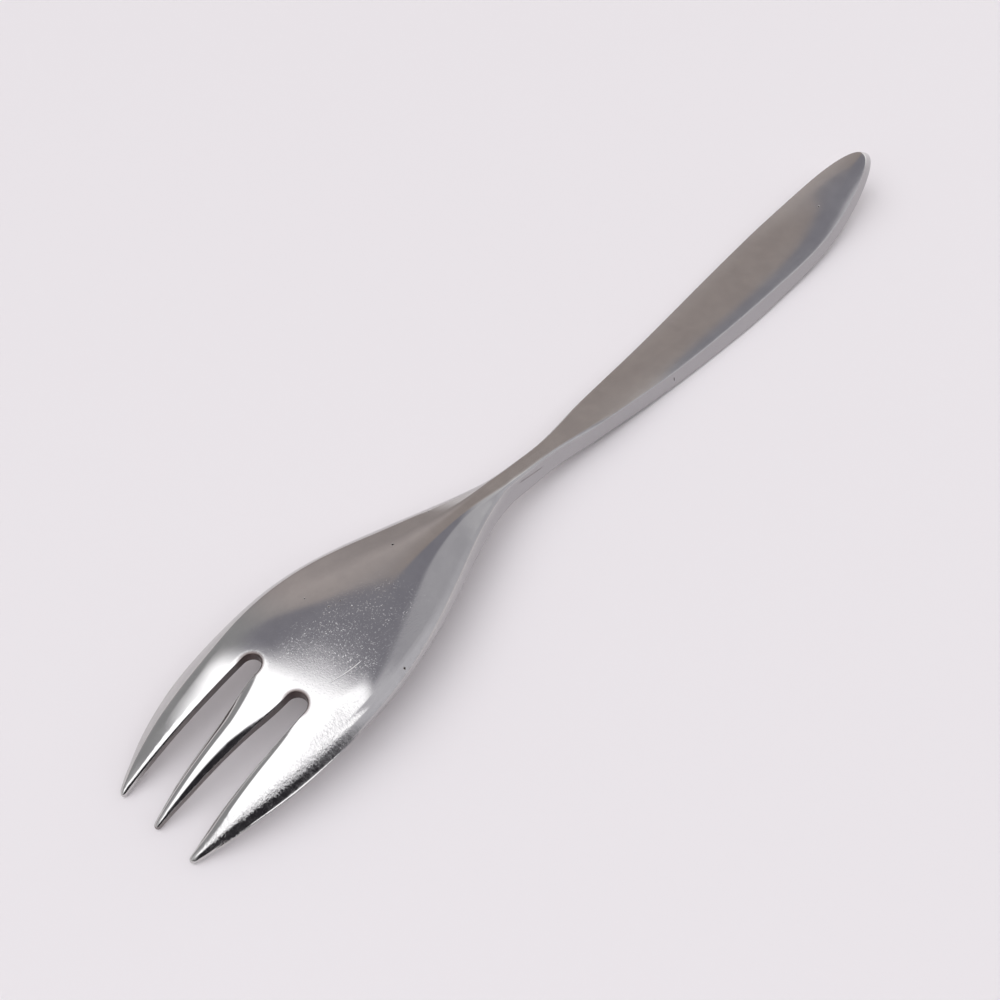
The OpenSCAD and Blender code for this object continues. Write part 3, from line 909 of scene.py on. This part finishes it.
def steel_material():
    """Stainless steel: satin-ground on the handle, worn polish on the palm and tines."""
    material = bpy.data.materials.new("worn_steel")
    material.use_nodes = True
    g = Graph(material.node_tree)
    shader = material.node_tree.nodes["Principled BSDF"]
    shader.inputs["Metallic"].default_value = 1.0

    # Place on the steel in millimetres, with the stations as in the shape
    coordinates = g.add("ShaderNodeTexCoord")
    place = coordinates.outputs["Object"]
    place = g.vector("MULTIPLY", place, (1 / MM,) * 3)
    place = g.vector("ADD", place, (LENGTH / 2, 0.0, 0.0))
    station, side, height = g.add("ShaderNodeSeparateXYZ", place).outputs
    flat = g.add("ShaderNodeCombineXYZ", station, side, 0.0).outputs[0]
    edge = g.add("ShaderNodeAttribute", attribute_name="edge").outputs["Fac"]

    # How satin the finish is, from the worn palm to the handle
    drift = g.noise(place, scale=0.08, detail=3.0)
    satin = g.step(g.scaled(drift, SATIN_DRIFT, station), *SATIN_STARTS)

    # Wear comes in patches, most of it on the palm and on the right-hand tine
    patch_noise = g.noise(place, scale=0.22, detail=3.0, roughness=0.6)
    patches = g.step(patch_noise, *WORN_PATCHES)
    slanted = g.scaled(g.math("MINIMUM", station, TINE_WEAR_SLANT_END), TINE_WEAR_SLANT, side)
    slanted = g.scaled(patch_noise, TINE_WEAR_RAGGED, slanted)
    right_tine = g.product(
        g.step(slanted, *TINE_WEAR_SIDE),
        g.step(station, *TINE_WEAR_STARTS),
        g.step(station, *TINE_WEAR_ENDS),
        g.scaled(g.step(edge, *SPARED_EDGE), -SPARED_SHARE, 1.0),
    )
    open_palm = g.product(
        g.step(station, *PALM_WEAR_STARTS),
        g.step(station, *PALM_WEAR_ENDS),
        g.step(side, *PALM_WEAR_LEFT),
        g.step(side, *PALM_WEAR_RIGHT),
    )
    battered = g.largest(right_tine, g.product(open_palm, PALM_WEAR_SHARE))
    light_wear = g.scaled(satin, -WEAR_ELSEWHERE, WEAR_ELSEWHERE)

    # Fine hairlines, one in each cell of several cell patterns, and flecks between them
    flecks = g.scaled(right_tine, FLECK_RISE, g.noise(flat, scale=3.2, detail=3.0, roughness=0.6))
    scratches = g.product(g.step(flecks, *FLECK_LIMITS), FLECK_STRENGTH)
    for size, half_width, half_length, share in HAIRLINES:
        cells = g.cells(flat, 1.0 / size, "2D")
        pick, spin, fade = g.add("ShaderNodeSeparateColor", cells["Color"]).outputs
        local = g.vector("SUBTRACT", flat, cells["Position"])
        turned = g.add("ShaderNodeVectorRotate", rotation_type="Z_AXIS")
        g.feed(turned.inputs["Vector"], local)
        g.feed(turned.inputs["Angle"], g.scaled(spin, HAIRLINE_SPREAD, HAIRLINE_TURN))
        run, aside, _ = g.add("ShaderNodeSeparateXYZ", turned.outputs[0]).outputs
        aside = g.scaled(g.product(run, run), HAIRLINE_BOW / size, aside)
        line = g.product(
            g.step(g.math("ABSOLUTE", aside), half_width, half_width * HAIRLINE_FULL_WIDTH),
            g.step(g.math("ABSOLUTE", run), half_length, half_length * HAIRLINE_FULL_LENGTH),
            g.step(pick, share, share - HAIRLINE_CHOICE),
            fade,
        )
        scratches = g.largest(scratches, line)
    scratches = g.product(
        scratches,
        g.scaled(battered, SCRATCH_STRENGTH, light_wear),
        g.scaled(patches, PATCHY_SHARE, 1.0 - PATCHY_SHARE),
    )

    def mark(start, end, half, bow):
        """Share of a thin line between two places, bowed to one side."""
        (s0, y0), (s1, y1) = start, end
        length = math.hypot(s1 - s0, y1 - y0)
        ahead = ((s1 - s0) / length, (y1 - y0) / length, 0.0)
        across = (-ahead[1], ahead[0], 0.0)
        from_start = g.vector("ADD", flat, (-s0, -y0, 0.0))
        travel = g.dot(from_start, ahead)
        bent = g.product(g.math("SINE", g.product(travel, math.pi / length)), bow)
        off = g.math("ABSOLUTE", g.math("ADD", g.dot(from_start, across), bent))
        return g.product(
            g.step(off, *(half * limit for limit in LINE_EDGE)),
            g.step(travel, *LINE_START),
            g.step(travel, *(length + limit for limit in LINE_END)),
        )

    # One long scratch on the palm, and the short crease where the neck's right flank runs out, darkened with
    # painted shade
    marks = g.largest(scratches, mark(*LONG_SCRATCH))
    shaded_crease = mark(*CREASE)

    # Painted shade in the roots of the two slots
    to_left = g.distance(flat, (SLOT_CENTRE, SLOT_MIDDLE, 0.0))
    to_right = g.distance(flat, (SLOT_CENTRE, -SLOT_MIDDLE, 0.0))
    to_root = g.math("MINIMUM", to_left, to_right)
    root_shade = g.product(g.step(to_root, *ROOT_SHADE_GAP), g.step(station, *ROOT_SHADE_STARTS))

    # Specks of dirt, and pits
    ragged = g.scaled(g.noise(flat, scale=9.0), SPECK_RAGGED, -SPECK_RAGGED / 2)
    specks = g.largest(*(
        g.step(g.math("ADD", g.distance(flat, (s, y, 0.0)), ragged), size, size * SPECK_FULL)
        for s, y, size in SPECKS
    ))
    specks = g.product(specks, g.step(height, *SPECK_HEIGHTS))
    cells = g.cells(place, PIT_CELLS, "3D")
    pits = g.product(
        g.step(cells["Distance"], *PIT_RADIUS),
        g.step(cells["Color"], *PIT_CHANCE),
        g.scaled(battered, PIT_STRENGTH, light_wear),
    )

    # Edges rub bright
    rub = g.product(
        g.step(edge, *RUB_EDGE),
        g.step(g.noise(place, scale=1.4, detail=3.0, roughness=0.6), *RUB_PATCHES),
        g.scaled(satin, -RUB_LOSS, 1.0),
    )

    # Painted shade on the upright sides, and on the walls of the slots among them
    facing = g.add("ShaderNodeSeparateXYZ", coordinates.outputs["Normal"]).outputs["Z"]
    upright = g.step(g.math("ABSOLUTE", facing), *UPRIGHT)
    shaded_side = g.product(upright, g.step(station, *SIDE_STARTS))
    shaded_slot_wall = g.product(
        upright,
        g.step(g.math("ABSOLUTE", side), *SLOT_WALL_SIDE),
        g.step(station, *SLOT_WALL_END),
    )

    # Colour: the steel's tints, then each form over them with the share it covers and its colour; sides,
    # slots' walls, slots' roots and crease get painted shade
    tint = g.noise(place, scale=0.3, detail=4.0, roughness=0.6)
    colour = g.blend(g.step(tint, *TINT_LIMITS), DARKER_STEEL, LIGHTER_STEEL)
    for form, cover, shade in (
        (rub, 0.3, (0.74, 0.73, 0.72, 1.0)),
        (marks, 0.4, (0.74, 0.74, 0.74, 1.0)),
        # painted shade on the upright sides
        (shaded_side, 0.8, (0.39, 0.38, 0.388, 1.0)),
        # painted shade on the slots' walls
        (shaded_slot_wall, 0.8, (0.16, 0.135, 0.13, 1.0)),
        # painted shade in the slots' roots
        (root_shade, 0.9, (0.11, 0.08, 0.075, 1.0)),
        # painted shade along the neck's crease
        (shaded_crease, 1.0, (0.3, 0.28, 0.28, 1.0)),
        (specks, 1.0, (0.07, 0.06, 0.055, 1.0)),
    ):
        colour = g.blend(g.product(form, cover), colour, shade)
    g.feed(shader.inputs["Base Color"], colour)

    # Roughness: polish to satin, then what each form adds to it
    stretched = g.add("ShaderNodeMapping", flat, vector_type="TEXTURE")
    stretched.inputs["Scale"].default_value = (GRAIN_LENGTH, GRAIN_WIDTH, GRAIN_WIDTH)
    grain = g.noise(stretched.outputs[0], scale=1.0)
    smear = g.noise(place, scale=0.5, detail=4.0, roughness=0.65)
    rough = g.scaled(satin, SATIN - POLISHED, POLISHED)
    for form, more in (
        (g.math("SUBTRACT", smear, NOISE_MIDDLE), 0.1),
        (g.product(g.math("SUBTRACT", grain, NOISE_MIDDLE), satin), 0.16),
        (open_palm, 0.03),
        (right_tine, 0.05),
        (marks, 0.4),
        (rub, 0.1),
        (g.largest(root_shade, shaded_slot_wall), 0.2),
        (specks, 0.5),
    ):
        rough = g.scaled(form, more, rough)
    rough = g.math("MINIMUM", g.largest(rough, LEAST_ROUGHNESS), MOST_ROUGHNESS)
    g.feed(shader.inputs["Roughness"], rough)

    # Bump: each form with its height in millimetres
    dents = g.product(g.noise(flat, scale=2.3, detail=4.0, roughness=0.65), right_tine)
    sparkle = g.product(g.noise(place, scale=5.0, roughness=0.6), open_palm)
    relief = 0.0
    for form, rise in (
        (dents, 0.06),
        (sparkle, 0.004),
        (g.product(grain, satin), 0.004),
        (marks, -0.012),
        (pits, -0.03),
        (specks, -0.05),
        (shaded_crease, -0.03),
    ):
        relief = g.scaled(form, rise, relief)
    bump = g.add("ShaderNodeBump")
    bump.inputs["Distance"].default_value = MM
    g.feed(bump.inputs["Height"], relief)
    g.feed(shader.inputs["Normal"], bump.outputs["Normal"])
    return material


steel = steel_material()
for name in piece_faces:
    build(name, steel)

# Floor: half its width and its drop under the fork in metres, and its colour, which the horizon shares
FLOOR_HALF = 3.0
FLOOR_DROP = 0.00005
FLOOR_COLOUR = (0.84, 0.805, 0.815, 1.0)
FLOOR_ROUGHNESS = 0.6
floor_corners = [(x * FLOOR_HALF, y * FLOOR_HALF, 0.0) for x, y in ((-1, -1), (1, -1), (1, 1), (-1, 1))]
floor_mesh = bpy.data.meshes.new("floor")
floor_mesh.from_pydata(floor_corners, [], [(0, 1, 2, 3)])
floor = bpy.data.objects.new("floor", floor_mesh)
floor.location.z = -FLOOR_DROP
bpy.context.scene.collection.objects.link(floor)
floor_material = bpy.data.materials.new("floor")
floor_material.use_nodes = True
floor_shader = floor_material.node_tree.nodes["Principled BSDF"]
floor_shader.inputs["Base Color"].default_value = FLOOR_COLOUR
floor_shader.inputs["Roughness"].default_value = FLOOR_ROUGHNESS
floor_mesh.materials.append(floor_material)

# Camera: sensor and lens in millimetres, place in metres, and direction
SENSOR_WIDTH = 36.0
LENS = 46.8
CAMERA_PLACE = (-0.10411, -0.07621, 0.15755)
CAMERA_FORWARD = Vector((0.45156, 0.39561, -0.79972))
camera_data = bpy.data.cameras.new("camera")
camera_data.sensor_width = SENSOR_WIDTH
camera_data.lens = LENS
camera = bpy.data.objects.new("camera", camera_data)
camera.location = CAMERA_PLACE
camera.rotation_mode = "QUATERNION"
camera.rotation_quaternion = CAMERA_FORWARD.to_track_quat("-Z", "Y")
bpy.context.scene.collection.objects.link(camera)
bpy.context.scene.camera = camera

# Directions of the room: level and away from the camera, level and to its right, and straight up
AWAY = Vector((0.75215, 0.65895, 0.0))
RIGHT = Vector((0.65895, -0.75215, 0.0))
UP = Vector((0.0, 0.0, 1.0))

# Walls ahead of the camera from the table up to the ceiling: share of straight up, and colour
WALL_AHEAD = (
    (0.0, (0.36, 0.32, 0.31, 1.0)), (0.3, (0.43, 0.385, 0.38, 1.0)), (0.55, (0.54, 0.485, 0.475, 1.0)),
    (0.7, (0.50, 0.45, 0.44, 1.0)), (0.85, (0.45, 0.41, 0.41, 1.0)),
)
# Other colours of the room, above 1 for what shines
WALL_AHEAD_RIGHT = (0.40, 0.35, 0.335, 1.0)
WALL_LEFT = (0.38, 0.38, 0.39, 1.0)
WALL_RIGHT_FAR = (0.50, 0.495, 0.53, 1.0)
WALL_RIGHT_NEAR = (0.68, 0.675, 0.72, 1.0)
WALL_BACK = (0.42, 0.42, 0.44, 1.0)
CEILING = (0.28, 0.275, 0.315, 1.0)
LOW_GLOW = (0.6, 0.6, 0.61, 1.0)
RIGHT_GLOW = (1.3, 1.3, 1.3, 1.0)
BEHIND_CAMERA = (0.03, 0.028, 0.033, 1.0)
SMALL_WINDOW = (1.9, 1.9, 1.95, 1.0)
WINDOW = (2.0, 2.0, 2.05, 1.0)

# Sides of planes through the fork: how far the side kept lies away, right and up, and how soft its edge is
LEFT_SIDE = (-0.75, -1.0, 0.0, 0.1)
CEILING_SIDES = ((-1.0, -0.6, 0.53, 0.02), (-1.0, 0.9, 0.45, 0.04))
CEILING_LEFT_SIDE = (0.0, -1.0, -0.85, 0.08)
BACK_SIDE = (-1.0, 0.0, -0.15, 0.15)
RIGHT_SIDE = (-1.0, 0.9, -0.135, 0.03)
SMALL_WINDOW_SIDE = (-1.0, -0.6, 0.02, 0.03)
WINDOW_SIDES = (
    (-1.0, -0.75, 0.15, 0.05), (0.0, -1.0, 0.2, 0.04), (1.1, -0.8, 1.0, 0.1), (0.0, 1.0, 1.08, 0.07),
)

# Round spots: how far their middle lies away, right and up, and cosines at their rim and where full
AHEAD_RIGHT_SPOT = (0.0, 1.0, 0.0, -0.2, 0.14)
NEAR_SPOT = (1.0, 0.0, 0.0, 0.35, 0.0)
LOW_GLOW_SPOT = (-0.655, -0.655, 0.37, 0.743, 0.94)
RIGHT_GLOW_SPOT = (0.698, 0.629, 0.342, 0.86, 0.98)
BEHIND_CAMERA_SPOT = (-0.98, 0.17, 0.09, 0.64, 0.8)
SMALL_WINDOW_SPOT = (-0.375, 0.375, 0.848, 0.94, 0.98)
OVERHEAD_SPOT = (0.0, 0.13, 0.99, 0.9935, 0.998)

# Heights as shares of straight up: lower edge of the window, and the pale band that carries the floor on
WINDOW_FOOT = (0.0, 0.05)
HORIZON = (0.105, 0.07)


def light_room():
    """Light from a plain room as the world: walls, glows, windows and a dark place behind the camera."""
    world = bpy.data.worlds.new("room")
    bpy.context.scene.world = world
    world.use_nodes = True
    room = Graph(world.node_tree)
    toward = room.add("ShaderNodeTexCoord").outputs["Generated"]
    upward = room.dot(toward, tuple(UP))

    def spot(away, right, up, start, full):
        """Share of a direction in a round spot with a soft edge."""
        middle = (AWAY * away + RIGHT * right + UP * up).normalized()
        return room.step(room.dot(toward, tuple(middle)), start, full)

    def side_of(away, right, up, soft):
        """Share of a direction on one side of a plane through the fork, with a soft edge."""
        return spot(away, right, up, -soft, soft)

    # Walls and ceiling
    ahead = room.add("ShaderNodeValToRGB", upward)
    while len(ahead.color_ramp.elements) < len(WALL_AHEAD):
        ahead.color_ramp.elements.new(0.5)
    for element, (position, shade) in zip(ahead.color_ramp.elements, WALL_AHEAD):
        element.position, element.color = position, shade
    colour = room.blend(spot(*AHEAD_RIGHT_SPOT), ahead.outputs["Color"], WALL_AHEAD_RIGHT)
    colour = room.blend(side_of(*LEFT_SIDE), colour, WALL_LEFT)
    ceiling = room.blend(side_of(*CEILING_LEFT_SIDE), CEILING, WALL_LEFT)
    colour = room.blend(room.largest(*(side_of(*side) for side in CEILING_SIDES)), colour, ceiling)
    colour = room.blend(side_of(*BACK_SIDE), colour, WALL_BACK)
    wall_right = room.blend(spot(*NEAR_SPOT), WALL_RIGHT_FAR, WALL_RIGHT_NEAR)
    colour = room.blend(side_of(*RIGHT_SIDE), colour, wall_right)

    # Glows, the dark place behind the camera, the windows, and the floor carried on to the horizon
    small_window = room.product(spot(*SMALL_WINDOW_SPOT), side_of(*SMALL_WINDOW_SIDE))
    window = room.product(*(side_of(*side) for side in WINDOW_SIDES), room.step(upward, *WINDOW_FOOT))
    for share, shade in (
        (spot(*LOW_GLOW_SPOT), LOW_GLOW),
        (spot(*RIGHT_GLOW_SPOT), RIGHT_GLOW),
        (spot(*BEHIND_CAMERA_SPOT), BEHIND_CAMERA),
        (small_window, SMALL_WINDOW),
        (spot(*OVERHEAD_SPOT), SMALL_WINDOW),
        (window, WINDOW),
        (room.step(upward, *HORIZON), FLOOR_COLOUR),
    ):
        colour = room.blend(share, colour, shade)
    room.feed(world.node_tree.nodes["Background"].inputs["Color"], colour)


light_room()

bpy.context.scene.view_settings.view_transform = "Standard"
